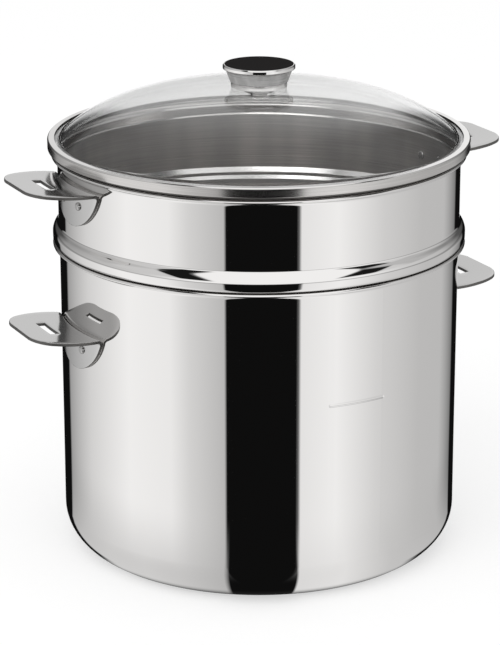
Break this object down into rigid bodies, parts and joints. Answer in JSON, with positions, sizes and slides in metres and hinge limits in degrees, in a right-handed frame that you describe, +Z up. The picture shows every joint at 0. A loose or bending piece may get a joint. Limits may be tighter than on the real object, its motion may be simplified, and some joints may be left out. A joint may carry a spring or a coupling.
{
  "type": "pasta pot with strainer insert",
  "caption": "Tall round steel pot with a lift-out perforated strainer insert that stands on the pot's rim, slotted plate handles and a domed glass lid with a low knob.",
  "frame": {"origin": "centre of the underside, on the surface that the pot stands on", "axes": "+Z up along the pot's axis, +X through the right-hand handles, +Y away from the marked front"},
  "size_m": [0.2888, 0.2326, 0.2745],
  "materials": {
    "polished_steel": "mirror polished stainless steel",
    "satin_steel": "satin stainless steel",
    "brushed_steel": "brushed stainless steel",
    "rivet_steel": "bright stainless steel",
    "core_aluminium": "plain, closed in",
    "lid_glass": "clear toughened glass",
    "silicone": "matt silicone",
    "dark_inlay": "satin dark disc"
  },
  "bodies": {
    "pot": {"pot_shell": "polished_steel", "base_core": "core_aluminium", "base_cap": "polished_steel", "pot_handle_left": "satin_steel", "pot_handle_right": "satin_steel", "pot_rivets_left": "rivet_steel", "pot_rivets_right": "rivet_steel"},
    "insert": {"insert_collar": "polished_steel", "strainer_basket": "brushed_steel", "insert_handle_left": "satin_steel", "insert_handle_right": "satin_steel", "insert_rivets_left": "rivet_steel", "insert_rivets_right": "rivet_steel"},
    "lid": {"lid_glass": "lid_glass", "lid_band": "polished_steel", "knob_gasket": "silicone", "knob_ring": "polished_steel", "knob_body": "polished_steel", "knob_inlay": "dark_inlay", "screw_gasket": "silicone", "screw_washer": "rivet_steel", "knob_screw": "rivet_steel"}
  },
  "joints": [
    {"name": "insert_lift", "type": "slide", "parent": "pot", "child": "insert", "axis": [0, 0, 1], "range_m": [0, 0.16]},
    {"name": "lid_lift", "type": "slide", "parent": "insert", "child": "lid", "axis": [0, 0, 1], "range_m": [0, 0.09]}
  ]
}
